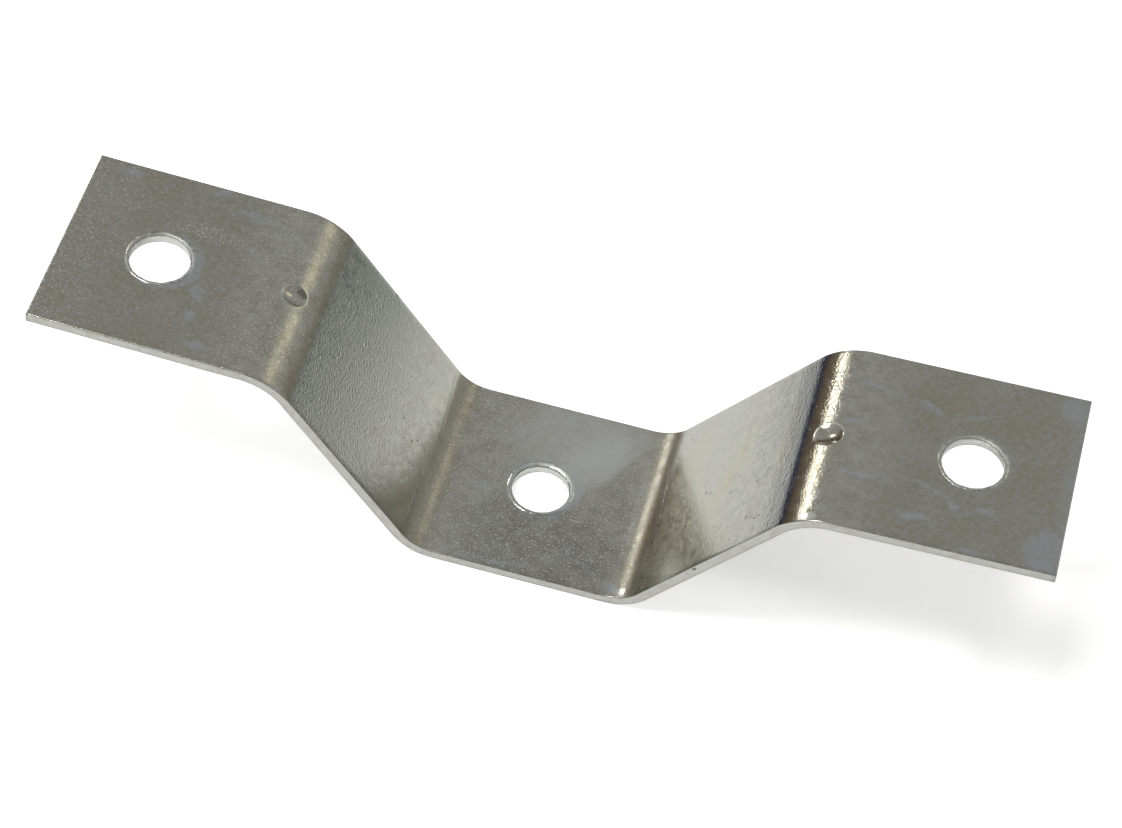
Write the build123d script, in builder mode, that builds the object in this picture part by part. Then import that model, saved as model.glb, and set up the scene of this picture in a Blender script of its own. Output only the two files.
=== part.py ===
from build123d import *
from math import cos, isclose, radians, sin, sqrt, tan
import os

# A strap bracket folded from one strip of sheet steel. The middle pan is the lowest part. From each
# side of it a leg slopes up to a flange, and the two sides are mirror images about the YZ plane.
# Millimetres and degrees. +X runs along the strap, +Y across it and +Z up. The origin is the middle
# of the pan's underside. The folded section is drawn in the XZ plane, where a point's Y is its height.

# Driving dimensions: the strip
sheet_thickness = 1.5
strap_width = 30.0

# Driving dimensions: the flat runs between bends, measured along the strip
pan_flat = 24.0
leg_flat = 27.5
flange_flat = 29.5

# Driving dimensions: the bends, each radius on the inside of its bend
leg_slope = 54.0
flange_rise = 2.0
lower_bend_radius = 6.0
upper_bend_radius = 7.5

# Driving dimensions: the punched holes
hole_diameter = 8.5
flange_hole_to_end = 13.5
pan_hole_shift = -0.7

# Driving dimensions: what shearing and punching leave, as shares of the sheet's thickness
edge_roll_share = 0.12
hole_roll_share = 0.25
fracture_share = 0.35
fracture_draft = 10.0

# Driving dimensions: the dimple pressed into the outside of each upper bend
dimple_slope = 24.0
dimple_depth = 0.55
dimple_punch_radius = 3.6
dimple_rim_radius = 0.3
bulge_foot_radius = 0.5
bulge_root_share = 0.75

# The underside of one half of the strap, as straight runs that meet in corners
lower_outer_radius = lower_bend_radius + sheet_thickness
upper_outer_radius = upper_bend_radius + sheet_thickness
lower_setback = lower_outer_radius * tan(radians(leg_slope / 2))
upper_setback = upper_bend_radius * tan(radians((leg_slope - flange_rise) / 2))
leg_run = lower_setback + leg_flat + upper_setback
flange_run = upper_setback + flange_flat

lower_corner = Vector(pan_flat / 2 + lower_setback, 0)
upper_corner = lower_corner + Vector(cos(radians(leg_slope)), sin(radians(leg_slope))) * leg_run
flange_along = Vector(cos(radians(flange_rise)), sin(radians(flange_rise)))
flange_end = upper_corner + flange_along * flange_run

# Section of a punched hole's wall: rolled rim on top, straight land, then the flared fracture
edge_roll = edge_roll_share * sheet_thickness
hole_roll = hole_roll_share * sheet_thickness
fracture_depth = fracture_share * sheet_thickness
fracture_flare = fracture_depth * tan(radians(fracture_draft))


def mirrored(point):
    """The same point of the section on the other side of the YZ plane."""
    return Vector(-point.X, point.Y)


def station(side, point, slope):
    """A plane on the strap at a point of its section, with its normal out of the top face there."""
    along = Vector(cos(radians(slope)), 0, side * sin(radians(slope)))
    normal = Vector(-side * sin(radians(slope)), 0, cos(radians(slope)))
    return Plane(origin=(side * point.X, 0, point.Y), x_dir=along, z_dir=normal)


def up_from(point, slope, height):
    """The point that lies a height above another, square to a run of that slope."""
    return point + Vector(-sin(radians(slope)), cos(radians(slope))) * height


# Where the holes are punched, on the top face
flange_hole_foot = flange_end - flange_along * flange_hole_to_end
flange_hole_point = up_from(flange_hole_foot, flange_rise, sheet_thickness)
hole_stations = [
    station(-1, flange_hole_point, flange_rise),
    station(1, Vector(pan_hole_shift, sheet_thickness), 0),
    station(1, flange_hole_point, flange_rise),
]

# Where the dimples are pressed, on the top face of the upper bends
upper_bend_start = upper_corner + flange_along * upper_setback
upper_bend_centre = up_from(upper_bend_start, flange_rise, -upper_bend_radius)
dimple_point = up_from(upper_bend_centre, dimple_slope, upper_outer_radius)
dimple_stations = [station(side, dimple_point, dimple_slope) for side in (-1, 1)]

# The dimple and the bulge below it are spheres about one centre, so the sheet keeps its thickness.
# Heights are from the top face. The bulge is drawn from its lowest point up to a root in the sheet.
dimple_centre = dimple_punch_radius - dimple_depth
bulge_radius = dimple_punch_radius + sheet_thickness
bulge_bottom = -dimple_depth - sheet_thickness
bulge_root = -bulge_root_share * sheet_thickness
bulge_root_radius = sqrt(bulge_radius**2 - (dimple_centre - bulge_root) ** 2)


def lies_on_top(edge):
    """Whether an edge of the folded strap lies on its top face."""
    middle = edge @ 0.5
    height = underside.distance_to(Vector(middle.X, middle.Z))
    return isclose(height, sheet_thickness, rel_tol=1e-6)


with BuildPart() as bracket:
    # The folded section, drawn on its underside and thickened upwards
    with BuildSketch(Plane.XZ) as section:
        with BuildLine():
            underside = FilletPolyline(
                mirrored(flange_end),
                mirrored(upper_corner),
                mirrored(lower_corner),
                lower_corner,
                upper_corner,
                flange_end,
                radius=[upper_bend_radius, lower_outer_radius, lower_outer_radius, upper_bend_radius],
            )
            offset(underside, amount=sheet_thickness, side=Side.LEFT)
        make_face()
    extrude(amount=strap_width / 2, both=True)

    # Shearing rolls the edge all round the top face
    top_lines = bracket.edges().filter_by(lies_on_top)
    long_sides = top_lines.group_by(Axis.Y)[0] + top_lines.group_by(Axis.Y)[-1]
    ends = top_lines.sort_by(Axis.X)[:1] + top_lines.sort_by(Axis.X)[-1:]
    fillet(long_sides + ends, edge_roll)

    # Each dimple stands out of the underside and is sunk into the top face
    for place in dimple_stations:
        with BuildSketch(Plane(origin=place.origin, x_dir=place.x_dir, z_dir=-place.y_dir)):
            with BuildLine():
                Line((0, bulge_bottom), (0, bulge_root))
                Line((0, bulge_root), (bulge_root_radius, bulge_root))
                RadiusArc((bulge_root_radius, bulge_root), (0, bulge_bottom), bulge_radius)
            make_face()
        revolve(axis=Axis(place.origin, place.z_dir))
        fillet(bracket.edges(Select.NEW), bulge_foot_radius)
        with Locations(place.offset(dimple_centre)):
            Sphere(dimple_punch_radius, mode=Mode.SUBTRACT)
        fillet(bracket.edges(Select.NEW), dimple_rim_radius)

    # Each hole has a flared fracture below and a rolled rim on top
    for place in hole_stations:
        with Locations(place):
            Hole(hole_diameter / 2)
        wall = bracket.faces(Select.LAST).filter_by(GeomType.CYLINDER)[0]
        lower_rim, upper_rim = wall.edges().filter_by(GeomType.CIRCLE).sort_by(Axis.Z)
        chamfer(lower_rim, fracture_depth, fracture_flare, reference=wall)
        fillet(upper_rim, hole_roll)

bracket.part.label = "bracket"
os.makedirs("parts", exist_ok=True)
export_step(bracket.part, "parts/bracket.step")
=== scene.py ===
from math import asin, cos, pi, radians, sin, sqrt, tan

import bmesh
import bpy
from bpy.props import FloatProperty, FloatVectorProperty, PointerProperty
from mathutils import Matrix, Vector, noise


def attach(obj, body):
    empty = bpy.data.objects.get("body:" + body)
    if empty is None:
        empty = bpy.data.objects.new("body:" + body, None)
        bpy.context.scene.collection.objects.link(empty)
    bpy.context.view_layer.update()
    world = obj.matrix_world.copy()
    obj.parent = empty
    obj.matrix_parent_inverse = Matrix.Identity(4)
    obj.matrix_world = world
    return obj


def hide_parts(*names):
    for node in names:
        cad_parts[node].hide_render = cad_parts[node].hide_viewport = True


bl_info = {
    "name": "Folded Strap Bracket",
    "version": (1, 0, 0),
    "blender": (4, 5, 0),
    "location": "3D View > Sidebar > Strap Bracket",
    "description": "Builds a folded, zinc plated strap bracket and the studio stage that shows it",
    "category": "Object",
}

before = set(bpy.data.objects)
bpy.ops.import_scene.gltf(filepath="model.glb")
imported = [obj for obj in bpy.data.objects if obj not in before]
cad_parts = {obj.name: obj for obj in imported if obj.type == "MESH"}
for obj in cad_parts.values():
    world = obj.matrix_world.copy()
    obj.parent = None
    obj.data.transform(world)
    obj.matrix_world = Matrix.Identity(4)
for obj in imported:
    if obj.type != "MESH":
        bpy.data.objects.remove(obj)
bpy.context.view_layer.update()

MM = 0.001
FLAT_PLACE = "flat_place"

# How finely the blank is divided
HOLE_CELLS = 20
WIDTH_CELLS = 40
PAN_CELLS = 32
LOWER_BEND_CELLS = 20
LEG_CELLS = 36
UPPER_BEND_CELLS = 24
FLANGE_CELLS = 40
RING_STEPS = 6
RIM_STEPS = 4
BOWL_STEPS = 10
JOIN_DISTANCE = 0.002 * MM

# Share of a dimple's slope at which its bowl starts, inside the rounded rim
BOWL_SHARE = 0.93

# Radii of the dimples' worn rims in millimetres
LEFT_DIMPLE_RIM = 1.72
RIGHT_DIMPLE_RIM = 1.90

# Where the white sheet under the bracket ends and the table begins
SHEET_RADIUS = 0.107
SHEET_CENTRE = (0.060, 0.025)
TABLE_LIFT = 0.0002

# How strongly the white world lights the scene
WORLD_LIGHT = 0.45

# Lamps: direction from the bracket, distance and diameter
KEY_LAMP = ((-0.635, 0.61, 0.473), 1.2, 0.13)
FILL_LAMP = ((0.50, 0.61, 0.62), 1.2, 0.30)
WINDOW_LAMP = ((-0.42, -0.20, 0.90), 1.0, 0.28)

# Camera: place in millimetres, then yaw, pitch and roll in degrees
CAMERA_PLACE = (43.953, -272.223, 367.834)
CAMERA_TURN = (9.001, 51.678, 7.125)


# ---------- sizes and colours


def length_prop(name, description, millimetres):
    return FloatProperty(
        name=name, description=description, default=millimetres * MM, unit="LENGTH", precision=5)


def pair_prop(name, description, millimetres):
    return FloatVectorProperty(
        name=name, description=description, default=[value * MM for value in millimetres],
        size=2, unit="LENGTH", precision=5)


def angle_prop(name, description, degrees):
    return FloatProperty(
        name=name, description=description, default=radians(degrees), subtype="ANGLE", unit="ROTATION")


def colour_prop(name, description, colour):
    return FloatVectorProperty(
        name=name, description=description, subtype="COLOR", size=3, min=0.0, max=1.0, default=colour)


class StrapSizes(bpy.types.PropertyGroup):
    """Sizes of the folded strap"""

    thickness: length_prop("Sheet thickness", "Gauge of the steel strip", 1.5)
    width: length_prop("Strap width", "Width of the steel strip", 30.0)
    pan_flat: length_prop("Pan flat", "Flat run of the lowest part, between its two bends", 24.0)
    leg_flat: length_prop("Leg flat", "Flat run of each sloping leg, between its two bends", 27.5)
    flange_flat: length_prop("Flange flat", "Flat run of each end, from its bend to the cut end", 29.5)
    leg_slope: angle_prop("Leg slope", "Slope of the legs above level", 54.0)
    flange_rise: angle_prop("Flange rise", "Slope of the flanges, up towards their ends", 2.0)
    lower_bend_radius: length_prop(
        "Lower bend radius", "Radius of the lower bends on their inside, the top face", 6.0)
    upper_bend_radius: length_prop(
        "Upper bend radius", "Radius of the upper bends on their inside, the underside", 7.5)
    hole_diameter: length_prop("Hole diameter", "Diameter of the three punched holes", 8.5)
    flange_hole_burr: length_prop(
        "Flange hole burr", "How far the metal dragged by the punch narrows a flange hole", 0.11)
    pan_hole_burr: length_prop(
        "Pan hole burr", "How far the metal dragged by the punch narrows the middle hole", 0.26)
    hole_to_end: length_prop("Hole to end", "Distance of a flange hole's centre from the cut end", 13.5)
    pan_hole_shift: length_prop(
        "Pan hole shift", "How far the middle hole sits off the strap's middle", -0.7)
    edge_roll: length_prop("Edge roll", "Rounding that the shear leaves along the top edges", 0.18)
    flange_hole_roll: pair_prop(
        "Flange hole roll",
        "Width and depth of the rounding that the punch leaves round a flange hole",
        (0.28, 0.20))
    pan_hole_roll: pair_prop(
        "Pan hole roll",
        "Width and depth of the rounding that the punch leaves round the middle hole",
        (0.46, 0.30))
    fracture_depth: length_prop(
        "Fracture depth", "Height of the torn, flared part at the bottom of a hole", 0.525)
    fracture_draft: angle_prop("Fracture draft", "Flare of the torn part of a hole's wall", 10.0)
    dimple_slope: angle_prop("Dimple slope", "Slope of the upper bend where its dimple is pressed", 24.0)
    dimple_stretch: FloatProperty(
        name="Dimple stretch", description="Length of a dimple along the strap over its width",
        default=1.06)
    left_dimple_stray: pair_prop(
        "Left dimple stray", "How far the left dimple was struck off its place", (-0.52, 0.48))
    dimple_depths: pair_prop(
        "Dimple depths", "Depths of the left and the right pressed dimple", (0.45, 0.55))
    dimple_punch_radius: length_prop(
        "Dimple punch radius", "Radius of the ball punch that presses a dimple", 3.6)
    dimple_rim_radius: length_prop("Dimple rim radius", "Rounding round the edge of a dimple", 0.4)
    rim_lip: length_prop("Rim lip", "Height of the lip that the punch raised round the holes", 0.072)
    rim_raggedness: length_prop(
        "Rim raggedness", "How far the rolled rims of the holes stray from round", 0.09)
    roll_drift: length_prop(
        "Roll drift", "How far the rounding round the holes sits off their middle, to the far side", 0.13)
    waviness: length_prop(
        "Waviness", "Depth of the slight unevenness that folding leaves in the sheet", 0.02)


class ZincFinish(bpy.types.PropertyGroup):
    """Colours and grain of the zinc plating"""

    plate: colour_prop("Zinc", "Colour of the zinc plating", (0.470, 0.480, 0.440))
    olive: colour_prop(
        "Olive bloom", "Colour of the patches where the plating has dulled", (0.41, 0.38, 0.30))
    blue: colour_prop(
        "Blue stain", "Colour of the thin stains that the passivation bath leaves", (0.52, 0.59, 0.68))
    straw: colour_prop("Straw stain", "Colour of the faint warm stains on the legs", (0.50, 0.45, 0.30))
    # Colour of the dark stripes in the lower bends: partly a painted reflection, partly dulling by the die
    dull: colour_prop(
        "Dulled bend",
        "Colour of the plating that the die dulled in the right lower bend",
        (0.24, 0.215, 0.155))
    plate_dark: colour_prop(
        "Dark speckle", "Colour of the fine dark speckle in the plating", (0.27, 0.26, 0.23))
    # Also the colour of the painted glints at the right bends' near ends and of the painted light on the
    # hole walls
    bright: colour_prop(
        "Clean zinc", "Colour where the plating stayed clean and bright", (0.74, 0.76, 0.73))
    cut: colour_prop("Cut edge", "Colour of the plated cut edges and hole walls", (0.53, 0.54, 0.52))
    torn: colour_prop("Torn edge", "Colour of the torn, duller foot of a cut edge", (0.36, 0.36, 0.33))
    nick: colour_prop("Nick", "Colour of the two nicks in the cut edges", (0.06, 0.06, 0.055))
    grain_height: FloatProperty(
        name="Grain height", description="Depth of the fine peel in the plated face",
        default=0.045 * MM, unit="LENGTH", precision=6)
    pit_depth: FloatProperty(
        name="Pit depth", description="Depth of the scattered pinholes in the plating",
        default=0.03 * MM, unit="LENGTH", precision=6)
    die_line_depth: FloatProperty(
        name="Die line depth", description="Depth of the fine lines that the folding die leaves",
        default=0.03 * MM, unit="LENGTH", precision=6)


class StudioSetup(bpy.types.PropertyGroup):
    """Floor, studio walls, lamps and camera"""

    floor_size: FloatProperty(
        name="Floor size", description="Side of the floor",
        default=6.0, unit="LENGTH")
    studio_radius: FloatProperty(
        name="Studio radius", description="Distance of the studio's walls and ceiling",
        default=1.6, unit="LENGTH")
    floor_colour: colour_prop("Floor", "Colour of the floor", (0.86, 0.86, 0.85))
    ceiling_colour: colour_prop(
        "Ceiling", "Colour of the studio's ceiling, which the flanges mirror", (0.45, 0.45, 0.445))
    overhead_colour: colour_prop(
        "Overhead", "Colour of the ceiling straight above and of the wall in front", (0.20, 0.20, 0.185))
    wall_colour: colour_prop(
        "Left wall", "Colour of the studio's left wall near the floor", (0.18, 0.135, 0.09))
    right_wall_colour: colour_prop(
        "Right wall", "Colour of the studio's right wall near the floor", (0.29, 0.25, 0.20))
    table_colour: colour_prop("Table", "Colour of the table beyond the white sheet", (0.02, 0.03, 0.09))
    right_table_colour: colour_prop(
        "Right table", "Colour of the table on the right", (0.08, 0.14, 0.14))
    key_power: FloatProperty(
        name="Key lamp", description="Power of the lamp behind the bracket on its left",
        default=0.62, unit="POWER")
    fill_power: FloatProperty(
        name="Fill lamp", description="Power of the weaker lamp behind the bracket on its right",
        default=0.17, unit="POWER")
    window_power: FloatProperty(
        name="Window lamp", description="Power of the lamp above the bracket on its left",
        default=4.2, unit="POWER")
    lens: FloatProperty(
        name="Lens", description="Focal length of the camera in millimetres",
        default=105.25)


# ---------- the blank, cut and punched


def edges_of(geometry):
    return [item for item in geometry if isinstance(item, bmesh.types.BMEdge)]


def verts_of(geometry):
    return [item for item in geometry if isinstance(item, bmesh.types.BMVert)]


def faces_of(geometry):
    return [item for item in geometry if isinstance(item, bmesh.types.BMFace)]


def make_object(bm, name):
    """Turns a finished bmesh into an object of the scene."""
    mesh = bpy.data.meshes.new(name)
    bm.to_mesh(mesh)
    bm.free()
    made = bpy.data.objects.new(name, mesh)
    bpy.context.scene.collection.objects.link(made)
    return made


def steps(start, end, count):
    """The stations of a run that is divided evenly, without its start."""
    return [start + (end - start) * step / count for step in range(1, count + 1)]


class Blank:
    """Where the flat blank's parts lie along it, measured on its top face from the middle of the pan."""

    def __init__(self, sizes):
        self.lower_angle = sizes.leg_slope
        self.upper_angle = sizes.leg_slope - sizes.flange_rise
        self.pan_end = sizes.pan_flat / 2
        self.lower_length = sizes.lower_bend_radius * self.lower_angle
        self.leg_start = self.pan_end + self.lower_length
        self.leg_end = self.leg_start + sizes.leg_flat
        self.upper_length = (sizes.upper_bend_radius + sizes.thickness) * self.upper_angle
        self.flange_start = self.leg_end + self.upper_length
        self.end = self.flange_start + sizes.flange_flat
        self.hole = self.end - sizes.hole_to_end
        share = (sizes.leg_slope - sizes.dimple_slope) / self.upper_angle
        self.dimple = self.leg_end + self.upper_length * share
        self.cell = sizes.pan_flat / PAN_CELLS

    def half_stations(self, reach):
        """The lines across one half of the blank, out to its end."""
        return (
            steps(self.pan_end, self.leg_start, LOWER_BEND_CELLS)
            + steps(self.leg_start, self.leg_end, LEG_CELLS)
            + steps(self.leg_end, self.flange_start, UPPER_BEND_CELLS)
            + steps(self.flange_start, reach, FLANGE_CELLS)
        )

    def stations(self, reach):
        """The lines across the whole blank, from its left end to its right end."""
        half = self.half_stations(reach)
        left = [-station for station in reversed(half)]
        pan = [-self.pan_end] + steps(-self.pan_end, self.pan_end, PAN_CELLS)
        return left + pan + half


def lay_sheet(bm, stations, side, height):
    """Lays one face of the blank as a grid of cells with a line at each station. Returns its faces."""
    count = len(stations) - 1
    grid = bmesh.ops.create_grid(bm, x_segments=count, y_segments=WIDTH_CELLS, size=0.5)["verts"]
    for vert in grid:
        vert.co = (stations[round((vert.co.x + 0.5) * count)], 2 * side * vert.co.y, height)
    return list({face for vert in grid for face in vert.link_faces})


def open_window(bm, faces, along, half_length, half_width):
    """Takes the cells round a hole or dimple out of a sheet and returns the edges left round it."""
    inside = set()
    for face in faces:
        if face.is_valid:
            middle = face.calc_center_median()
            if abs(middle.x - along) < half_length and abs(middle.y) < half_width:
                inside.add(face)
    rim = [
        edge for edge in {edge for face in inside for edge in face.edges}
        if sum(face in inside for face in edge.link_faces) == 1
    ]
    bmesh.ops.delete(bm, geom=list(inside), context="FACES")
    return [edge for edge in rim if edge.is_valid]


def set_ring(bm, edges, centre, radius, height):
    """Joins a new ring on to a window's edges and returns the ring's edges."""
    circle = bmesh.ops.create_circle(bm, segments=len(edges), radius=radius)["verts"]
    bmesh.ops.translate(bm, verts=circle, vec=centre + Vector((0, 0, height + radius)))
    ring = list({edge for vert in circle for edge in vert.link_edges})
    bmesh.ops.bridge_loops(bm, edges=edges + ring)
    bmesh.ops.translate(bm, verts=circle, vec=(0, 0, -radius))
    return ring


def new_loop(drawn):
    """The edges that run along the free side of what was just drawn out."""
    verts = verts_of(drawn)
    return [edge for edge in edges_of(drawn) if edge.verts[0] in verts and edge.verts[1] in verts]


def rolled_corner(width, depth):
    """The steps in and down of a quarter round."""
    turns = [pi / 2 * step / RING_STEPS for step in range(RING_STEPS + 1)]
    return [
        (width * (sin(after) - sin(turn)), depth * (cos(turn) - cos(after)))
        for turn, after in zip(turns, turns[1:])
    ]


def draw_ring(bm, ring, centre, step_in, step_down, radius):
    """Draws a ring inwards and down from the last one and returns its edges and radius."""
    drawn = bmesh.ops.extrude_edge_only(bm, edges=ring)["geom"]
    verts = verts_of(drawn)
    share = (radius - step_in) / radius
    bmesh.ops.scale(bm, verts=verts, vec=(share, share, 1), space=Matrix.Translation(-centre))
    bmesh.ops.translate(bm, verts=verts, vec=(0, 0, -step_down))
    return new_loop(drawn), radius - step_in, faces_of(drawn)


def punch_hole(bm, sizes, top, bottom, along, cell, burr, rounding):
    """Punches a hole: raised lip, rolled rim, land and flared fracture. Returns the wall's faces."""
    window = (HOLE_CELLS / 2) * cell
    rim = open_window(bm, top, along, window, window)
    foot = open_window(bm, bottom, along, window, window)
    centre = Vector((along, 0, 0))
    radius = sizes.hole_diameter / 2 - burr
    roll, drop = rounding
    land = sizes.thickness - drop - sizes.fracture_depth
    flare = sizes.fracture_depth * tan(sizes.fracture_draft)
    collar = 0.4 * MM
    size = radius + roll + collar
    ring = set_ring(bm, rim, centre, size, sizes.thickness)
    lip = sizes.rim_lip
    profile = [
        (0.10 * MM, 0.0),
        (0.08 * MM, -0.6 * lip),
        (0.07 * MM, -0.4 * lip),
        (0.10 * MM, 0.1 * lip),
        (0.05 * MM, 0.2 * lip),
    ]
    profile += rolled_corner(roll, drop + 0.7 * lip)
    rolled = len(profile)
    profile += [(0.0, land / 2), (0.0, land / 2)]
    profile += [(-flare / 3, sizes.fracture_depth / 3)] * 3
    walls = []
    for count, (step_in, step_down) in enumerate(profile):
        ring, size, drawn = draw_ring(bm, ring, centre, step_in, step_down, size)
        if count >= rolled - 1:
            walls += drawn
    outer = set_ring(bm, foot, centre, size + collar, 0.0)
    draw_ring(bm, outer, centre, collar, 0.0, size + collar)
    return walls


def draw_profile(bm, ring, centre, size, heights):
    """Draws a ring through radii and heights, one after another. Returns the last ring's verts."""
    height = 0.0
    for radius, level in heights:
        ring, size, _ = draw_ring(bm, ring, centre, size - radius, height - level, size)
        height = level
    return list({vert for edge in ring for vert in edge.verts})


def stretch_ring(bm, ring, centre, sizes):
    """Draws a dimple's ring out along the strap."""
    verts = list({vert for edge in ring for vert in edge.verts})
    bmesh.ops.scale(bm, verts=verts, vec=(sizes.dimple_stretch, 1, 1), space=Matrix.Translation(-centre))


def press_dimple(bm, sizes, top, bottom, along, centre, depth, half_length, half_width):
    """Presses a dimple into the top face and its bulge out of the underside."""
    punch = sizes.dimple_punch_radius
    raised = punch - depth
    slope = asin(sqrt(punch ** 2 - raised ** 2) / punch)
    rim_turn = sizes.dimple_rim_radius * tan(slope / 2)
    reach = punch * sin(slope) + rim_turn
    rim = open_window(bm, top, along, half_length, half_width)
    size = reach + 0.25 * MM
    ring = set_ring(bm, rim, centre, size, sizes.thickness)
    stretch_ring(bm, ring, centre, sizes)
    heights = [(reach, 0.0)]
    for step in range(1, RIM_STEPS + 1):
        turn = slope * step / RIM_STEPS
        heights.append((reach - sizes.dimple_rim_radius * sin(turn),
                        sizes.dimple_rim_radius * (cos(turn) - 1)))
    for step in range(1, BOWL_STEPS):
        turn = slope * (1 - step / BOWL_STEPS) * BOWL_SHARE
        heights.append((punch * sin(turn), raised - punch * cos(turn)))
    pole = draw_profile(bm, ring, centre, size, heights)
    bmesh.ops.pointmerge(bm, verts=pole, merge_co=centre + Vector((0, 0, sizes.thickness - depth)))

    bulge = punch + sizes.thickness
    spread = sqrt(bulge ** 2 - (raised + sizes.thickness) ** 2)
    foot = open_window(bm, bottom, along, half_length, half_width)
    size = spread + 0.38 * MM
    ring = set_ring(bm, foot, centre, size, 0.0)
    stretch_ring(bm, ring, centre, sizes)
    heights = [(spread + 0.3 * MM, -0.012 * MM), (spread + 0.15 * MM, -0.045 * MM)]
    edge_turn = asin(spread / bulge)
    for step in range(1, BOWL_STEPS):
        turn = edge_turn * (1 - step / BOWL_STEPS)
        heights.append((bulge * sin(turn), raised + sizes.thickness - bulge * cos(turn)))
    pole = draw_profile(bm, ring, centre, size, heights)
    bmesh.ops.pointmerge(bm, verts=pole, merge_co=centre - Vector((0, 0, depth)))


def shear_edges(bm, sizes, loop, half_length, half_width):
    """Draws the blank's cut edges down from its top face: rolled corner, burnished band, fracture."""
    roll = sizes.edge_roll
    tuck = 0.05 * MM
    profile = rolled_corner(roll, roll)
    rolled = len(profile)
    straight = sizes.thickness - roll
    profile += [(0.0, straight * 0.35), (0.0, straight * 0.3)]
    profile += [(-tuck * 0.5, straight * 0.1), (0.0, straight * 0.2), (-tuck * 0.5, straight * 0.05)]
    walls = []
    length, width = half_length, half_width
    for count, (out, down) in enumerate(profile):
        drawn = bmesh.ops.extrude_edge_only(bm, edges=loop)["geom"]
        verts = verts_of(drawn)
        bmesh.ops.scale(bm, verts=verts, vec=((length + out) / length, (width + out) / width, 1))
        bmesh.ops.translate(bm, verts=verts, vec=(0, 0, -down))
        length, width = length + out, width + out
        loop = new_loop(drawn)
        if count >= rolled - 1:
            walls += faces_of(drawn)
    return walls, tuck


def fold(bm, place, side, start, length, centre_height, angle):
    """Folds the blank about one bend. What lies beyond the bend swings round with it."""
    for vert in bm.verts:
        along = side * vert[place].x - start
        if along > 0:
            turned = min(along, length)
            vert.co.x -= side * turned
            hinge = Vector((side * start, 0, centre_height))
            swing = Matrix.Rotation(-side * angle * turned / length, 3, "Y")
            vert.co = hinge + swing @ (vert.co - hinge)


def unevenness(place):
    """How deep the sheet's slight waves are at a place on the blank, from 0 to 1."""
    broad = noise.noise(Vector((place.x * 45, place.y * 70, 3.1)))
    close = noise.noise(Vector((place.x * 160, place.y * 120, 8.4)))
    return 0.5 + 0.35 * broad + 0.15 * close


def roughen_rims(bm, sizes, centres):
    """Leaves the rolled rims of the punched holes slightly ragged."""
    inner = sizes.hole_diameter / 2 - sizes.pan_hole_burr - 0.02 * MM
    outer = sizes.hole_diameter / 2 + sizes.pan_hole_roll[0] + 0.2 * MM
    for vert in bm.verts:
        for centre in centres:
            away = Vector((vert.co.x - centre, vert.co.y))
            if inner < away.length < outer and vert.co.z > sizes.thickness * 0.6:
                facing = away.normalized()
                jag = noise.noise(Vector((facing.x * 4.5 + centre * 999, facing.y * 4.5, 2.0)))
                burr = noise.noise(Vector((facing.x * 12, facing.y * 12 + centre * 999, 7.0)))
                step = facing * sizes.rim_raggedness * (jag + 0.7 * burr)
                rounded = sizes.pan_hole_roll[1]
                share = max(0.0, min(1.0, (vert.co.z - sizes.thickness + rounded) / rounded))
                vert.co.x += step.x
                vert.co.y += step.y + sizes.roll_drift * share
                vert.co.z += sizes.rim_raggedness * (0.7 * burr - 0.1)


def build_strap(sizes):
    """Cuts, punches and folds the strap, and returns its object."""
    blank = Blank(sizes)
    bm = bmesh.new()
    inset = sizes.edge_roll
    side = sizes.width / 2 - inset
    reach = blank.end - inset
    stations = blank.stations(reach)
    top = lay_sheet(bm, stations, side, sizes.thickness)
    top_faces = set(top)
    bottom = lay_sheet(bm, stations, side, 0.0)
    outline = [edge for edge in bm.edges if edge.is_boundary]
    top_loop = [edge for edge in outline if edge.link_faces[0] in top_faces]
    walls, tuck = shear_edges(bm, sizes, top_loop, reach, side)

    # The underside grows to meet the foot of the cut edges
    bottom_verts = {vert for face in bottom for vert in face.verts}
    foot = ((reach + inset - tuck) / reach, (side + inset - tuck) / side, 1)
    edge_verts = [vert for vert in bottom_verts if abs(vert.co.x) > reach - 1e-6
                  or abs(vert.co.y) > side - 1e-6]
    bmesh.ops.scale(bm, verts=edge_verts, vec=foot)

    pan_hole = sizes.pan_hole_shift
    walls += punch_hole(bm, sizes, top, bottom, pan_hole, blank.cell,
                        sizes.pan_hole_burr, sizes.pan_hole_roll)
    for hand in (-1, 1):
        walls += punch_hole(bm, sizes, top, bottom, hand * blank.hole, blank.cell,
                            sizes.flange_hole_burr, sizes.flange_hole_roll)
        pressed = Vector((hand * blank.dimple, 0, 0))
        if hand < 0:
            pressed += Vector((*sizes.left_dimple_stray, 0))
        depth = sizes.dimple_depths[0 if hand < 0 else 1]
        press_dimple(bm, sizes, top, bottom, hand * blank.dimple, pressed, depth,
                     10 * blank.upper_length / UPPER_BEND_CELLS, 5.2 * side / (WIDTH_CELLS / 2))
    bmesh.ops.remove_doubles(bm, verts=list(bm.verts), dist=JOIN_DISTANCE)

    for face in bm.faces:
        face.smooth = True
        face.material_index = 0
    for face in walls:
        if face.is_valid:
            face.material_index = 1
    bmesh.ops.recalc_face_normals(bm, faces=list(bm.faces))

    place = bm.verts.layers.float_vector.new(FLAT_PLACE)
    for vert in bm.verts:
        vert[place] = vert.co.copy()
    for vert in bm.verts:
        sunk = sizes.waviness * unevenness(vert[place])
        if vert.co.z > sizes.thickness * 0.5:
            vert.co.z -= sunk
        else:
            vert.co.z += sunk * 0.5

    roughen_rims(bm, sizes, (pan_hole, blank.hole, -blank.hole))

    lower_centre = sizes.thickness + sizes.lower_bend_radius
    upper_centre = -sizes.upper_bend_radius
    for hand in (-1, 1):
        fold(bm, place, hand, blank.leg_end, blank.upper_length, upper_centre, -blank.upper_angle)
        fold(bm, place, hand, blank.pan_end, blank.lower_length, lower_centre, blank.lower_angle)

    return make_object(bm, "strap")


# ---------- finishes


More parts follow.
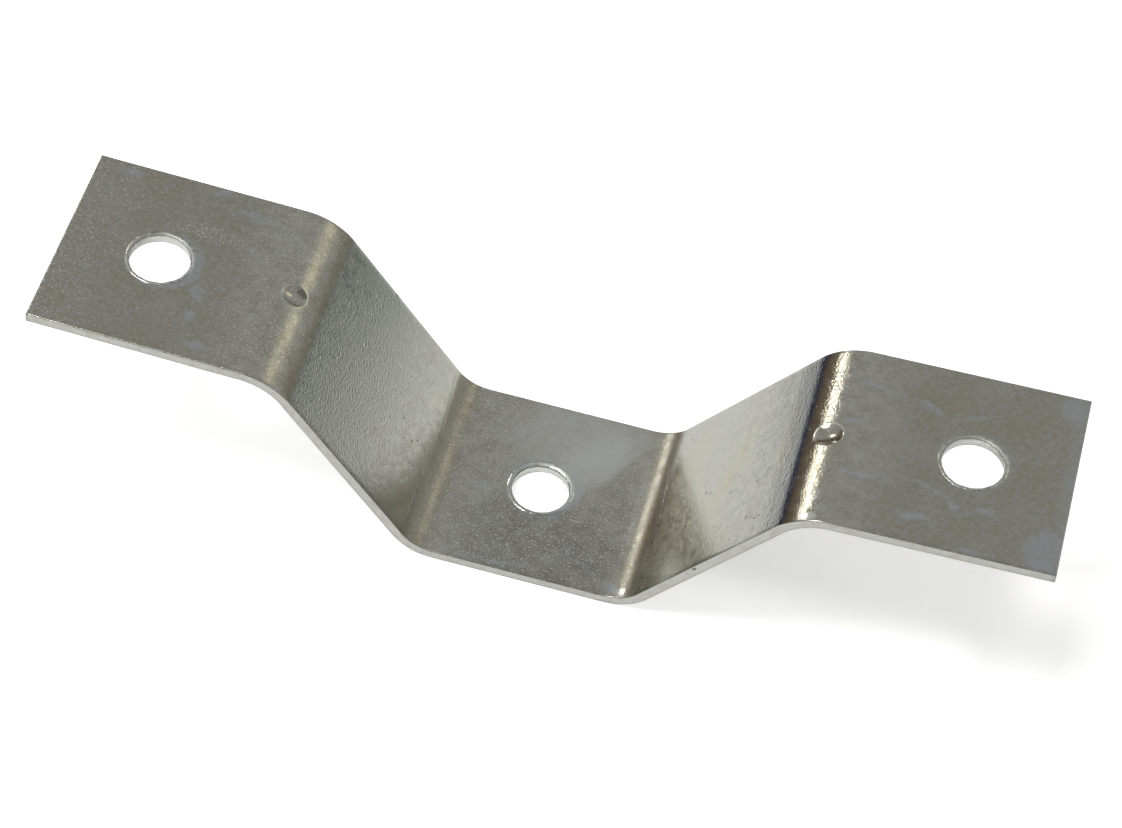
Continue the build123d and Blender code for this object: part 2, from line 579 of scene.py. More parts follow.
class Nodes:
    """Lays out a material's nodes."""

    def __init__(self, tree):
        self.tree = tree
        self.count = 0
        tree.nodes.clear()

    def feed(self, socket, value):
        """Links or sets one input. A plain colour gets an alpha of 1."""
        if isinstance(value, bpy.types.NodeSocket):
            self.tree.links.new(value, socket)
        elif socket.type == "RGBA" and len(value) == 3:
            socket.default_value = (*value, 1.0)
        else:
            socket.default_value = value

    def add(self, kind, inputs=None, **settings):
        """Adds a node in the next free place, with its settings and inputs."""
        node = self.tree.nodes.new(kind)
        node.location = (220 * (self.count // 6), -260 * (self.count % 6))
        self.count += 1
        for name, value in settings.items():
            setattr(node, name, value)
        for name, value in (inputs or {}).items():
            self.feed(node.inputs[name], value)
        return node

    def place_on_blank(self):
        """Each point's place on the flat blank, in millimetres."""
        flat = self.add("ShaderNodeAttribute", attribute_name=FLAT_PLACE, attribute_type="GEOMETRY")
        return self.turned(flat.outputs["Vector"], scale=(1000, 1000, 1000))

    def noise(self, vector, scale, detail=2.0, roughness=0.5, distortion=0.0):
        return self.add("ShaderNodeTexNoise", {
            "Vector": vector, "Scale": scale, "Detail": detail,
            "Roughness": roughness, "Distortion": distortion}).outputs[0]

    def spread(self, value, low, high, to_low=0.0, to_high=1.0, smooth=True):
        """A value's range from low to high, laid over another range."""
        return self.add("ShaderNodeMapRange", {
            "Value": value, "From Min": low, "From Max": high,
            "To Min": to_low, "To Max": to_high},
            interpolation_type="SMOOTHSTEP" if smooth else "LINEAR").outputs["Result"]

    def maths(self, operation, first, second=0.0):
        return self.add("ShaderNodeMath", {0: first, 1: second}, operation=operation).outputs[0]

    def times(self, first, second):
        return self.maths("MULTIPLY", first, second)

    def plus(self, first, second):
        return self.maths("ADD", first, second)

    def minus(self, first, second):
        return self.maths("SUBTRACT", first, second)

    def blend(self, amount, first, second):
        """A colour that goes from the first to the second with the amount."""
        made = self.add("ShaderNodeMix", {0: amount, 6: first, 7: second}, data_type="RGBA")
        return made.outputs[2]

    def coat(self, colour, coating, where, strength):
        """Lays a second colour over the first, as thickly as where and strength say."""
        return self.blend(self.times(where, strength), colour, coating)

    def split(self, vector):
        """A vector's X, Y and Z."""
        return self.add("ShaderNodeSeparateXYZ", {"Vector": vector}).outputs

    def turned(self, vector, rotation=(0, 0, 0), scale=(1, 1, 1)):
        return self.add("ShaderNodeMapping", {
            "Vector": vector, "Rotation": rotation, "Scale": scale}).outputs["Vector"]

    def level(self, amount, first, second):
        """A number that goes from the first to the second with the amount."""
        made = self.add("ShaderNodeMix", {0: amount, 2: first, 3: second}, data_type="FLOAT")
        return made.outputs[0]

    def band(self, value, low, high, soft):
        """1 between two levels of a value and 0 outside, with soft ends."""
        above = self.spread(value, low - soft, low + soft)
        below = self.spread(value, high + soft, high - soft)
        return self.times(above, below)

    def smear(self, vector, centre, length, width, angle=0.0, core=0.2):
        """An oval patch in millimetres on the flat blank, 1 in its core and 0 outside."""
        laid = self.add("ShaderNodeMapping", {
            "Vector": vector, "Location": (*centre, 0), "Rotation": (0, 0, radians(angle)),
            "Scale": (length / 2, width / 2, 1000)}, vector_type="TEXTURE").outputs["Vector"]
        far = self.add("ShaderNodeVectorMath", {0: laid}, operation="LENGTH").outputs["Value"]
        return self.spread(far, 1.0, core)

    def rim(self, vector, centre, radii, width):
        """A ring in millimetres on the flat blank, 1 on its line and 0 beside it."""
        laid = self.add("ShaderNodeMapping", {
            "Vector": vector, "Location": (*centre, 0), "Scale": (*radii, 1000)},
            vector_type="TEXTURE").outputs["Vector"]
        far = self.add("ShaderNodeVectorMath", {0: laid}, operation="LENGTH").outputs["Value"]
        off = self.maths("ABSOLUTE", self.minus(far, 1.0))
        return self.spread(off, width / radii[1], 0.0)

    def relief(self, depth, height, below=None):
        """Fine relief, laid over another where one is given."""
        inputs = {"Strength": 1.0, "Distance": depth, "Height": height}
        if below:
            inputs["Normal"] = below
        return self.add("ShaderNodeBump", inputs).outputs["Normal"]

    def finish_metal(self, colour, rough, normal):
        """Ends the material as a metal."""
        shader = self.add("ShaderNodeBsdfPrincipled", {
            "Base Color": colour, "Metallic": 1.0, "Roughness": rough, "Normal": normal})
        self.add("ShaderNodeOutputMaterial", {"Surface": shader.outputs["BSDF"]})

    def finish_glow(self, colour):
        """Ends the material as a surface that shows its own colour."""
        glow = self.add("ShaderNodeEmission", {"Color": colour, "Strength": 1.0})
        self.add("ShaderNodeOutputMaterial", {"Surface": glow.outputs[0]})

    def most(self, values):
        """The greatest of several values."""
        greatest = values[0]
        for value in values[1:]:
            greatest = self.maths("MAXIMUM", greatest, value)
        return greatest


def new_material(name):
    """A material without nodes, and the hand that lays them."""
    material = bpy.data.materials.new(name)
    material.use_nodes = True
    return material, Nodes(material.node_tree)


def plated_face(sizes, finish):
    """The rolled faces of the strap: bright zinc with a fine peel, dull bloom and thin blue stains."""
    material, nodes = new_material("zinc plated face")
    place = nodes.place_on_blank()
    parts = nodes.split(place)
    along, width = parts["X"], parts["Y"]
    out = nodes.maths("ABSOLUTE", along)

    blank = Blank(sizes)
    pan_end = blank.pan_end / MM
    leg_start = blank.leg_start / MM
    leg_end = blank.leg_end / MM
    flange_start = blank.flange_start / MM
    end = blank.end / MM
    dimple = blank.dimple / MM
    on_leg = nodes.band(out, leg_start - 1.0, leg_end + 1.0, 2.0)
    right_hand = nodes.spread(along, 10.0, 22.0)
    in_lower_bend = nodes.band(out, pan_end, leg_start, 1.2)
    by_upper_bend = nodes.spread(out, flange_start + 9.0, flange_start + 1.0)

    # Coordinates that wander, for stains that drained off the sheet
    wander = nodes.add("ShaderNodeTexNoise", {
        "Vector": place, "Scale": 0.32, "Detail": 4.0, "Roughness": 0.62})
    centred = nodes.add("ShaderNodeVectorMath", {0: wander.outputs["Color"], 1: (0.5, 0.5, 0.5)},
                        operation="SUBTRACT").outputs[0]
    pushed = nodes.add("ShaderNodeVectorMath", {0: centred, 3: 3.6}, operation="SCALE").outputs[0]
    warped = nodes.add("ShaderNodeVectorMath", {0: place, 1: pushed}, operation="ADD").outputs[0]

    # Colour: olive bloom over the zinc in patches and a fine mottle, both fainter on the legs
    patches = nodes.noise(place, 0.17, 3.0, 0.55)
    mottle = nodes.noise(place, 1.5, 3.0, 0.65)
    bloom = nodes.plus(nodes.times(patches, 0.34), nodes.times(mottle, 0.66))
    bloom = nodes.spread(bloom, 0.38, 0.62)
    bloom = nodes.times(bloom, nodes.level(on_leg, 0.85, 0.16))
    colour = nodes.blend(bloom, finish.plate, finish.olive)
    pepper = nodes.spread(nodes.noise(place, 3.4, 2.0, 0.6), 0.38, 0.66)
    peppered = nodes.level(on_leg, nodes.level(right_hand, 0.60, 0.38), 0.08)
    colour = nodes.blend(nodes.times(pepper, peppered), colour, finish.plate_dark)
    # A darker patch over the near side of the pan
    duller = nodes.smear(warped, (2.0, -9.5), 30.0, 19.0, core=0.5)
    colour = nodes.coat(colour, finish.plate_dark, duller, 0.72)

    # Bright grains, thicker towards the cut ends and beside the upper bends
    flecks = nodes.noise(place, 3.4, 1.0, 0.5)
    thick = nodes.most([
        nodes.times(nodes.spread(along, -end + 12.0, -end + 1.0), 0.7),
        nodes.times(by_upper_bend, 0.6),
        nodes.smear(place, (-54.0, -10.5), 7.0, 6.5),
        nodes.smear(place, (-64.0, 6.5), 16.0, 5.0),
        nodes.smear(place, (13.0, 0.0), 3.0, 34.0),
    ])
    flecks = nodes.plus(flecks, nodes.times(thick, 0.09))
    flecks = nodes.spread(flecks, 0.635, 0.72)
    flecked = nodes.level(on_leg, nodes.level(right_hand, 0.85, 0.42), 0.10)
    colour = nodes.blend(nodes.times(flecks, flecked), colour, finish.bright)
    paler = nodes.times(by_upper_bend, nodes.spread(nodes.noise(place, 0.5, 4.0, 0.7), 0.3, 0.7))
    paler = nodes.times(paler, nodes.level(on_leg, 0.30, 0.0))
    colour = nodes.blend(paler, colour, finish.bright)

    # Blue stains in wisps, a halo beside the holes and patches in the corners
    def wisp(centre, length, width, angle=0.0):
        """A thin stain that drained off the sheet."""
        return nodes.smear(warped, centre, length, width, angle)

    wisps = nodes.most([
        wisp((55.0, 9.0), 11.0, 1.5, -3),
        wisp((62.5, 7.4), 6.0, 1.6, -30),
        wisp((68.5, 7.4), 8.0, 1.2, 18),
        wisp((53.0, 2.9), 5.0, 1.2),
        wisp((56.0, -6.0), 11.0, 1.5, 8),
        wisp((64.5, -5.8), 8.0, 1.4, -14),
        wisp((68.0, -7.8), 4.0, 1.5, -45),
        wisp((72.4, -7.8), 6.5, 1.6, 14),
        wisp((63.0, -10.8), 8.5, 1.6, -9),
        wisp((71.5, -14.2), 6.5, 1.2),
        wisp((-64.6, 13.8), 5.5, 1.2, 8),
        wisp((-59.6, 11.2), 11.0, 1.5, -3),
        wisp((-62.4, -4.0), 3.2, 4.6, 20),
        wisp((-62.6, -8.0), 2.4, 3.4),
        wisp((-52.0, -0.4), 3.6, 1.6, -58),
        wisp((-60.0, -12.4), 5.5, 1.3, -4),
        wisp((-58.2, 5.4), 1.4, 1.4),
        wisp((-78.0, 13.2), 5.5, 2.6),
        wisp((-11.6, -5.2), 4.6, 1.0, -24),
        wisp((-8.7, -1.6), 4.4, 0.9, 12),
        wisp((5.5, -9.3), 3.6, 1.0, -48),
        wisp((8.0, -10.9), 4.0, 0.9, -22),
        wisp((-5.0, -13.8), 19.0, 1.0, 6),
        wisp((12.6, -13.6), 4.0, 2.0),
    ])
    broken = nodes.spread(nodes.noise(place, 1.0, 4.0, 0.7), 0.26, 0.60)
    wisps = nodes.times(nodes.times(wisps, broken), 0.52)
    corners = nodes.most([
        nodes.smear(warped, (80.6, -11.6), 7.6, 8.6, core=0.6),
        nodes.times(nodes.smear(warped, (81.0, 12.2), 4.6, 6.6, core=0.4), 0.8),
        nodes.times(nodes.spread(along, end - 2.2, end - 0.6), 0.5),
    ])
    corners = nodes.times(corners, 0.42)
    hole = blank.hole / MM
    reach = sizes.hole_diameter / MM
    halo = nodes.most([
        nodes.smear(warped, (-hole + 0.9, -0.2), reach + 3.0, reach + 2.0, core=0.8),
        nodes.smear(warped, (0.0, 0.4), reach + 3.4, reach + 3.0, core=0.8),
        nodes.times(nodes.smear(
            warped, (hole + 0.5, 0.2), reach + 3.0, reach + 2.6, core=0.8), 0.6),
    ])
    halo = nodes.times(nodes.times(halo, broken), 0.5)
    colour = nodes.blend(nodes.most([wisps, corners, halo]), colour, finish.blue)

    # The pan is paler towards its far edge, up to a slanting line
    clean = nodes.smear(place, (2.5, 10.0), 28.0, 22.0, angle=8, core=0.3)
    slant = nodes.add("ShaderNodeMapping", {
        "Vector": place, "Location": (4.2, -1.4, 0), "Rotation": (0, 0, radians(58))},
        vector_type="TEXTURE").outputs["Vector"]
    left_of_it = nodes.split(slant)["Y"]
    clean = nodes.times(clean, nodes.spread(left_of_it, -0.9, 0.7, 0.35, 1.0))
    wedge = nodes.smear(place, (6.0, 6.5), 24.0, 13.0, angle=58, core=0.2)
    wedge = nodes.times(wedge, nodes.spread(left_of_it, -0.5, 0.5))
    clean = nodes.plus(nodes.times(clean, 0.46), nodes.times(wedge, 0.36))
    colour = nodes.blend(clean, colour, finish.bright)

    # Straw coloured stains on the legs and a few bright scrapes
    straw = nodes.most([
        nodes.smear(warped, (-19.5, -10.5), 6.0, 7.0),
        nodes.times(nodes.smear(warped, (22.0, 7.0), 7.0, 13.0), 0.4),
        nodes.times(nodes.smear(
            warped, (32.0, 1.5), 5.0, 22.0, angle=-24), 0.85),
        nodes.times(nodes.smear(warped, (42.5, 1.0), 3.4, 20.0), 0.6),
    ])
    colour = nodes.coat(colour, finish.straw, straw, 0.45)
    scrapes = nodes.most([
        nodes.smear(place, (5.4, -4.0), 2.8, 0.45, angle=2),
        nodes.smear(place, (9.0, -4.4), 1.2, 0.4, angle=-28),
        nodes.smear(place, (-7.4, -13.0), 3.4, 0.16, angle=-74),
        nodes.smear(place, (-6.8, -12.7), 2.2, 0.12, angle=-80),
        nodes.times(nodes.smear(
            place, (12.8, -8.0), 4.6, 0.2, angle=-85), 0.5),
    ])
    scrapes = nodes.times(scrapes, 0.6)

    # Rims of the holes and dimples, worn bright in places
    worn = nodes.spread(nodes.noise(place, 1.6, 3.0, 0.7), 0.36, 0.56)
    hole_rim = (sizes.hole_diameter / 2 - sizes.flange_hole_burr + sizes.flange_hole_roll[0]) / MM
    pan_rim = (sizes.hole_diameter / 2 - sizes.pan_hole_burr + sizes.pan_hole_roll[0]) / MM
    rings = [(-hole, hole_rim), (sizes.pan_hole_shift / MM, pan_rim), (hole, hole_rim)]
    rims = nodes.most([
        nodes.rim(place, (middle, 0.0), (radius + 0.14, radius + 0.14), 0.32) for middle, radius in rings])
    rims = nodes.times(rims, worn)
    roughened = nodes.most([
        nodes.rim(place, (middle, 0.0), (radius - 0.16, radius - 0.16), 0.34) for middle, radius in rings])
    stray = [shift / MM for shift in sizes.left_dimple_stray]
    left_dimple = (stray[0] - dimple, stray[1])
    dimple_rims = nodes.most([
        nodes.rim(place, (dimple, 0.0), (RIGHT_DIMPLE_RIM * sizes.dimple_stretch, RIGHT_DIMPLE_RIM), 0.26),
        nodes.times(nodes.rim(
            place, left_dimple, (LEFT_DIMPLE_RIM * sizes.dimple_stretch, LEFT_DIMPLE_RIM), 0.22), 0.5),
    ])
    bright_work = nodes.most([
        scrapes, nodes.times(rims, 0.85), nodes.times(dimple_rims, 0.75)])
    colour = nodes.blend(bright_work, colour, finish.bright)

    # Dark stripes in both lower bends, partly a painted reflection of the dark wall and partly dulling by
    # the die, broken by glittering grains; the die left slanting lines beside them
    dulled = nodes.most([
        nodes.times(nodes.band(along, 13.6, 16.8, 0.9), 0.30),
        nodes.times(nodes.band(along, -16.0, -13.4, 0.9), 0.40),
    ])
    glitter = nodes.spread(nodes.noise(place, 4.2, 1.0, 0.5), 0.50, 0.62)
    colour = nodes.blend(nodes.times(dulled, nodes.level(glitter, 1.0, 0.15)), colour, finish.dull)
    die_lines = nodes.most([
        nodes.smear(place, (17.0, 0.0), 24.0, 0.34, angle=-83.4),
        nodes.smear(place, (17.7, -1.0), 19.0, 0.28, angle=-83.4),
        nodes.smear(place, (-17.2, 8.5), 13.0, 0.42, angle=-83),
        nodes.smear(place, (-17.6, -9.0), 11.0, 0.26, angle=-86),
    ])
    colour = nodes.coat(colour, finish.bright, die_lines, 0.7)
    # Painted glints: bright spots at the near ends of the two right bends, where the metal is also
    # burnished smoother
    bend_end_glints = nodes.most([
        nodes.smear(place, (14.4, -14.1), 2.4, 1.9, core=0.5),
        nodes.smear(place, (50.2, -14.1), 2.6, 1.7, core=0.5),
    ])
    colour = nodes.coat(colour, finish.bright, bend_end_glints, 0.8)
    nick = nodes.smear(place, (-34.0, 14.85), 1.1, 0.9, core=0.4)
    colour = nodes.coat(colour, finish.nick, nick, 0.8)

    # Roughness: uneven, duller in the lower bends, burnished in the dimples and at two bend ends
    rough = nodes.spread(nodes.noise(place, 0.9, 4.0, 0.65), 0.3, 0.7, 0.23, 0.32)
    smoother = nodes.level(right_hand, 0.06, 0.10)
    rough = nodes.minus(rough, nodes.times(on_leg, smoother))
    rough = nodes.plus(rough, nodes.times(in_lower_bend, 0.07))
    on_pan = nodes.spread(out, pan_end, pan_end - 1.0)
    rough = nodes.minus(rough, nodes.times(on_pan, 0.07))
    burnished = nodes.most([
        nodes.smear(place, (dimple, 0.0), 5.0, 4.4, core=0.8),
        nodes.smear(place, left_dimple, length=5.0, width=4.4, core=0.8),
        bend_end_glints,
    ])
    right_bend = nodes.band(along, leg_end + 0.5, flange_start - 0.5, 1.0)
    rough = nodes.minus(rough, nodes.times(right_bend, 0.09))
    rough = nodes.level(burnished, rough, 0.17)
    rough = nodes.level(roughened, rough, 0.55)

    # Peel in short ridges across the strap, deepest where the sheet was stretched
    across = nodes.turned(place, rotation=(0, 0, radians(-15)))
    peel = nodes.noise(nodes.turned(across, scale=(1.6, 0.95, 1.0)), 2.05, 2.0, 0.5, 0.3)
    fine = nodes.noise(place, 5.0, 2.0, 0.6)
    grain = nodes.plus(peel, nodes.times(fine, 0.12))
    left_leg = nodes.band(along, -leg_end - 1.0, -leg_start - 2.0, 2.5)
    left_leg = nodes.times(left_leg, nodes.spread(along, -38.0, -20.0, 0.70, 0.40))
    left_leg = nodes.times(left_leg, nodes.spread(width, 0.0, 13.0, 1.0, 0.45))
    folded = nodes.band(out, pan_end, flange_start, 1.5)
    stretched = nodes.level(folded, 0.12, nodes.level(right_hand, 0.17, 0.27))
    stretched = nodes.maths("MAXIMUM", stretched, left_leg)
    grain = nodes.times(grain, nodes.level(burnished, stretched, 0.10))
    crimp = nodes.noise(nodes.turned(place, scale=(1.0, 0.7, 1.0)), 3.0, 2.0, 0.6)
    head = nodes.times(nodes.band(along, leg_end - 3.5, flange_start - 1.0, 1.6), 0.85)
    grain = nodes.plus(grain, nodes.times(crimp, nodes.level(burnished, head, 0.0)))
    bumped = nodes.relief(finish.grain_height, grain)
    ruled = nodes.relief(finish.die_line_depth, die_lines, bumped)
    cells = nodes.add("ShaderNodeTexVoronoi", {"Vector": place, "Scale": 0.7, "Randomness": 1.0})
    chance = nodes.add("ShaderNodeSeparateColor", {"Color": cells.outputs["Color"]}).outputs[0]
    kept = nodes.spread(chance, 0.55, 0.60)
    pinhole = nodes.spread(cells.outputs["Distance"], 0.04, 0.16, 1.0, 0.0)
    pit = nodes.times(nodes.times(pinhole, kept), -1.0)
    pitted = nodes.relief(finish.pit_depth, pit, ruled)
    nodes.finish_metal(colour, rough, pitted)
    return material


def cut_edge(sizes, finish):
    """The sheared edges and hole walls: a bright sheared band over a duller, torn foot."""
    material, nodes = new_material("zinc plated cut edge")
    place = nodes.place_on_blank()
    height = nodes.split(place)["Z"]
    streaks = nodes.noise(nodes.turned(place, scale=(0.35, 0.35, 6.0)), 1.4, 4.0, 0.6)
    patches = nodes.noise(place, 1.1, 3.0, 0.6)
    colour = nodes.blend(nodes.times(nodes.spread(streaks, 0.35, 0.65), 0.32),
                         finish.cut, finish.torn)
    uneven = nodes.plus(height, nodes.times(patches, 0.5))
    torn = nodes.spread(uneven, 0.62, 0.42)
    colour = nodes.coat(colour, finish.torn, torn, 0.55)
    colour = nodes.blend(nodes.times(nodes.spread(patches, 0.45, 0.7), 0.35), colour, finish.olive)
    blank = Blank(sizes)
    across_hole = sizes.hole_diameter / MM * 1.3
    # Hole walls painted paler with the clean zinc colour: painted light, standing in for light bouncing
    # into the holes
    holes = nodes.most([
        nodes.smear(place, (middle / MM, 0.0), across_hole, across_hole, core=0.95)
        for middle in (-blank.hole, sizes.pan_hole_shift, blank.hole)
    ])
    colour = nodes.coat(colour, finish.bright, holes, 0.6)
    nicks = nodes.most([
        nodes.smear(place, (-34.0, 15.0), 1.2, 1.2, core=0.4),
        nodes.smear(place, (28.8, -15.0), 0.9, 1.2, core=0.4),
    ])
    nicks = nodes.times(nicks, nodes.spread(height, 0.85, 1.15))
    colour = nodes.coat(colour, finish.nick, nicks, 0.85)
    rough = nodes.spread(patches, 0.3, 0.7, 0.3, 0.45)
    relief = nodes.plus(streaks, nodes.times(nodes.noise(place, 4.0, 2.0, 0.6), 0.4))
    relief = nodes.minus(relief, nicks)
    bumped = nodes.relief(finish.grain_height, relief)
    nodes.finish_metal(colour, rough, bumped)
    return material


# ---------- the stage


def seen_by_camera_and_metal(nodes):
    """1 for a ray that shows the background: straight, mirrored or through glass."""
    path = nodes.add("ShaderNodeLightPath")
    seen = nodes.maths("MAXIMUM", path.outputs["Is Camera Ray"], path.outputs["Is Glossy Ray"])
    return nodes.maths("MAXIMUM", seen, path.outputs["Is Transmission Ray"])


def lay_floor(setup):
    """The white floor, which keeps the bracket's shadow."""
    bm = bmesh.new()
    bmesh.ops.create_grid(bm, x_segments=1, y_segments=1, size=setup.floor_size / 2)
    floor = make_object(bm, "floor")
    material, nodes = new_material("white floor")
    seen = seen_by_camera_and_metal(nodes)
    straight = nodes.add("ShaderNodeLightPath").outputs["Is Camera Ray"]
    place = nodes.add("ShaderNodeTexCoord").outputs["Object"]
    parts = nodes.split(place)
    across, back = parts["X"], parts["Y"]

    # The floor isn't lit evenly: its own glow is least under the bracket and grows on every side, which
    # gathers the shadow to the front and the right. The metal sees a glow that fades towards the right.
    mirrored = nodes.spread(across, 0.04, 0.12, 0.34, 0.19)
    left = nodes.spread(across, 0.03, -0.02, 0.0, 0.235)
    front = nodes.times(
        nodes.spread(back, -0.002, -0.010, 0.0, 0.16), nodes.spread(across, 0.068, 0.058))
    right = nodes.most([
        nodes.spread(across, 0.060, 0.070, 0.0, 0.06),
        nodes.spread(across, 0.070, 0.084, 0.0, 0.27),
    ])
    behind = nodes.spread(back, 0.008, 0.016, 0.0, 0.24)
    shown = nodes.plus(nodes.most([left, front, right, behind]), 0.42)
    lift = nodes.times(seen, nodes.level(straight, mirrored, shown))
    diffuse = nodes.add("ShaderNodeBsdfDiffuse", {"Color": (*setup.floor_colour, 1.0)})
    glow = nodes.add("ShaderNodeEmission", {"Color": (1.0, 1.0, 1.0, 1.0), "Strength": lift})
    both = nodes.add("ShaderNodeAddShader", {0: diffuse.outputs[0], 1: glow.outputs[0]})
    nodes.add("ShaderNodeOutputMaterial", {"Surface": both.outputs[0]})
    floor.data.materials.append(material)


def only_mirrored(thing):
    """Leaves a studio card to be seen in the metal alone."""
    thing.visible_camera = False
    thing.visible_diffuse = False
    thing.visible_transmission = False
    thing.visible_volume_scatter = False
    thing.visible_shadow = False


def raise_studio(setup):
    """The studio's walls and ceiling, dim and seen only in the metal."""
    bm = bmesh.new()
    bmesh.ops.create_uvsphere(bm, u_segments=64, v_segments=32, radius=setup.studio_radius)
    below = [vert for vert in bm.verts if vert.co.z < -0.01]
    bmesh.ops.delete(bm, geom=below, context="VERTS")
    bmesh.ops.reverse_faces(bm, faces=list(bm.faces))
    walls = make_object(bm, "studio_walls")
    material, nodes = new_material("studio walls")
    place = nodes.add("ShaderNodeTexCoord").outputs["Object"]
    unit = nodes.add("ShaderNodeVectorMath", {0: place}, operation="NORMALIZE").outputs[0]
    parts = nodes.split(unit)
    hand = nodes.spread(parts["X"], -0.2, 0.2)
    wall_top = nodes.level(hand, 0.12, 0.0)
    rise = nodes.spread(nodes.minus(parts["Z"], wall_top), 0.14, 0.42)
    colour = nodes.blend(hand, setup.wall_colour, setup.right_wall_colour)
    colour = nodes.blend(rise, colour, setup.ceiling_colour)
    overhead = nodes.spread(parts["Z"], 0.86, 0.95)
    colour = nodes.blend(overhead, colour, setup.overhead_colour)
    front = nodes.spread(parts["Y"], -0.35, -0.75)
    low = nodes.spread(parts["Z"], 0.60, 0.35)
    colour = nodes.blend(nodes.times(front, low), colour, setup.overhead_colour)
    nodes.finish_glow(colour)
    walls.data.materials.append(material)
    only_mirrored(walls)


def lay_table(setup):
    """The table round the white sheet, seen only in the metal."""
    bm = bmesh.new()
    inner = bmesh.ops.create_circle(bm, segments=96, radius=SHEET_RADIUS)["verts"]
    ring = list({edge for vert in inner for edge in vert.link_edges})
    drawn = bmesh.ops.extrude_edge_only(bm, edges=ring)["geom"]
    bmesh.ops.scale(bm, verts=verts_of(drawn), vec=(15, 15, 1))
    bmesh.ops.translate(bm, verts=list(bm.verts), vec=(*SHEET_CENTRE, TABLE_LIFT))
    bmesh.ops.bisect_plane(bm, geom=bm.verts[:] + bm.edges[:] + bm.faces[:], dist=1e-6,
                           plane_co=(0, 0.02, 0), plane_no=(0, -1, 0), clear_outer=True)
    behind = [face for face in bm.faces if abs(face.calc_center_median().x - SHEET_CENTRE[0]) < 0.35]
    bmesh.ops.delete(bm, geom=behind, context="FACES")
    bmesh.ops.recalc_face_normals(bm, faces=list(bm.faces))
    table = make_object(bm, "table")
    material, nodes = new_material("dark table")
    place = nodes.add("ShaderNodeTexCoord").outputs["Object"]
    across = nodes.split(place)["X"]
    side = nodes.spread(across, -0.02, 0.08)
    colour = nodes.blend(side, setup.table_colour, setup.right_table_colour)
    nodes.finish_glow(colour)
    table.data.materials.append(material)
    only_mirrored(table)


def hang_lamp(name, hanging, power, colour):
    """Hangs a round lamp in a direction from the bracket, facing it."""
    towards, distance, size = hanging
    lamp = bpy.data.lights.new(name, "AREA")
    lamp.shape = "DISK"
    lamp.size = size
    lamp.energy = power
    lamp.color = colour
    hung = bpy.data.objects.new(name, lamp)
    place = Vector(towards).normalized() * distance
    hung.location = place
    hung.rotation_euler = place.to_track_quat("Z", "Y").to_euler()
    hung.visible_camera = False
    bpy.context.scene.collection.objects.link(hung)


def light_world():
    """A plain white world, softer where it lights the floor."""
    world = bpy.data.worlds.new("studio world")
    world.use_nodes = True
    nodes = Nodes(world.node_tree)
    seen = seen_by_camera_and_metal(nodes)
    strength = nodes.spread(seen, 0.0, 1.0, WORLD_LIGHT, 1.0, smooth=False)
    sky = nodes.add("ShaderNodeBackground", {"Color": (1.0, 1.0, 1.0, 1.0), "Strength": strength})
    nodes.add("ShaderNodeOutputWorld", {"Surface": sky.outputs[0]})
    bpy.context.scene.world = world


def set_camera(setup):
    """Stands the camera in front of the bracket and above it, turned a little to its right."""
    lens = bpy.data.cameras.new("camera")
    lens.sensor_width = 36.0
    lens.lens = setup.lens
    lens.clip_start = 0.01
    lens.clip_end = 20.0
    camera = bpy.data.objects.new("camera", lens)
    yaw, pitch, roll = (radians(turn) for turn in CAMERA_TURN)
    back = Vector((sin(yaw) * cos(pitch), -cos(yaw) * cos(pitch), sin(pitch)))
    level = Vector((cos(yaw), sin(yaw), 0))
    upright = back.cross(level)
    right = cos(roll) * level + sin(roll) * upright
    up = cos(roll) * upright - sin(roll) * level
    stand = Matrix((right, up, back)).transposed().to_4x4()
    stand.translation = Vector(CAMERA_PLACE) * MM
    camera.matrix_world = stand
    bpy.context.scene.collection.objects.link(camera)
    bpy.context.scene.camera = camera


# ---------- operators and panel


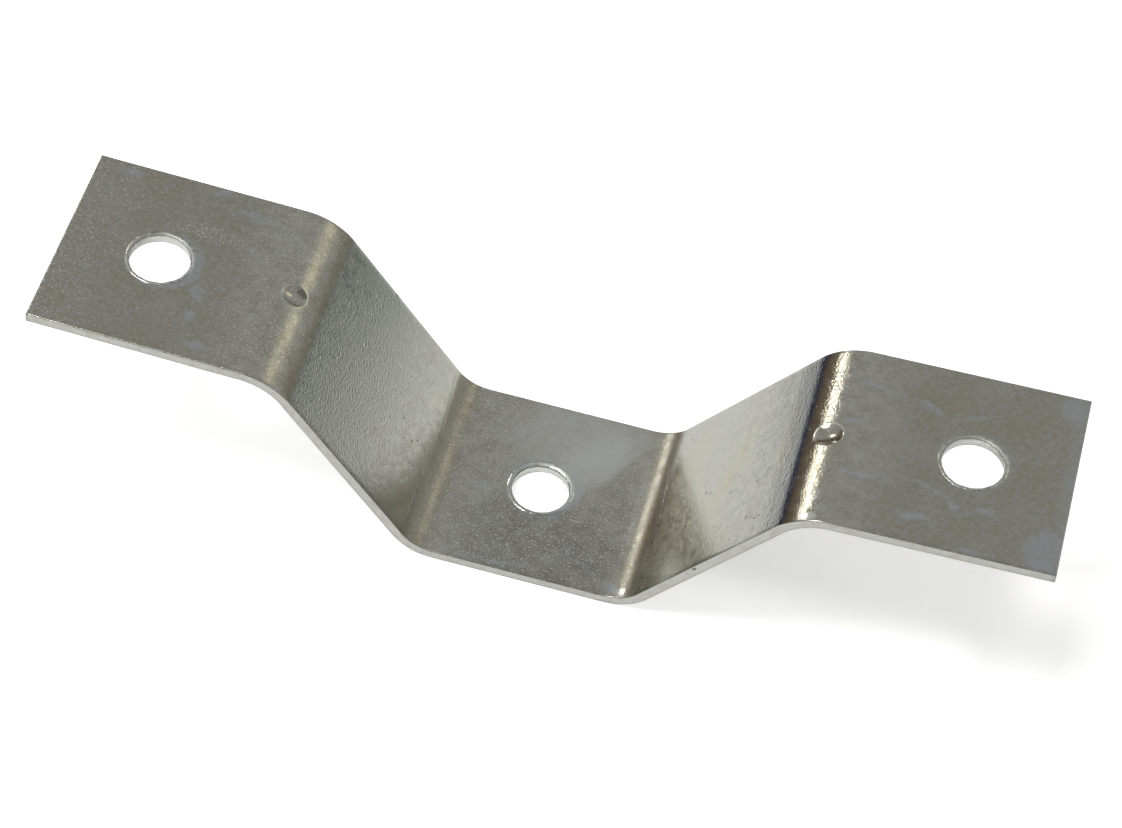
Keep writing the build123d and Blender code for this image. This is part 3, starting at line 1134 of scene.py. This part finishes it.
class BRACKET_OT_strap(bpy.types.Operator):
    """Cut, punch, fold and plate the strap"""

    bl_idname = "bracket.strap"
    bl_label = "Build the strap"

    def execute(self, context):
        strap = build_strap(context.scene.strap_sizes)
        if not strap.data.polygons:
            raise RuntimeError("the strap has no faces")
        strap.data.materials.append(plated_face(context.scene.strap_sizes, context.scene.zinc_finish))
        strap.data.materials.append(cut_edge(context.scene.strap_sizes, context.scene.zinc_finish))
        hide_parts("bracket")
        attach(strap, "root")
        return {"FINISHED"}


class BRACKET_OT_stage(bpy.types.Operator):
    """Set the floor, the studio, the lamps and the camera"""

    bl_idname = "bracket.stage"
    bl_label = "Set the stage"

    def execute(self, context):
        setup = context.scene.studio_setup
        lay_floor(setup)
        lay_table(setup)
        raise_studio(setup)
        light_world()
        hang_lamp("key lamp", KEY_LAMP, setup.key_power, (1.0, 0.95, 0.82))
        hang_lamp("fill lamp", FILL_LAMP, setup.fill_power, (1.0, 0.89, 0.52))
        hang_lamp("window", WINDOW_LAMP, setup.window_power, (1.0, 0.98, 0.95))
        set_camera(setup)
        context.scene.view_settings.view_transform = "Standard"
        return {"FINISHED"}


class BRACKET_PT_panel(bpy.types.Panel):
    """Lists the steps that build the bracket"""

    bl_idname = "BRACKET_PT_panel"
    bl_label = "Strap Bracket"
    bl_space_type = "VIEW_3D"
    bl_region_type = "UI"
    bl_category = "Strap Bracket"

    def draw(self, context):
        layout = self.layout
        layout.operator(BRACKET_OT_strap.bl_idname)
        layout.operator(BRACKET_OT_stage.bl_idname)
        for name in ("strap_sizes", "zinc_finish", "studio_setup"):
            group = getattr(context.scene, name)
            box = layout.box()
            box.label(text=name.replace("_", " ").capitalize())
            for prop in type(group).__annotations__:
                box.prop(group, prop)


CLASSES = (
    StrapSizes,
    ZincFinish,
    StudioSetup,
    BRACKET_OT_strap,
    BRACKET_OT_stage,
    BRACKET_PT_panel,
)


def register():
    for made in CLASSES:
        bpy.utils.register_class(made)
    bpy.types.Scene.strap_sizes = PointerProperty(type=StrapSizes)
    bpy.types.Scene.zinc_finish = PointerProperty(type=ZincFinish)
    bpy.types.Scene.studio_setup = PointerProperty(type=StudioSetup)


def unregister():
    del bpy.types.Scene.studio_setup
    del bpy.types.Scene.zinc_finish
    del bpy.types.Scene.strap_sizes
    for made in reversed(CLASSES):
        bpy.utils.unregister_class(made)


def main():
    register()
    bpy.ops.bracket.strap()
    bpy.ops.bracket.stage()


if __name__ == "__main__":
    main()
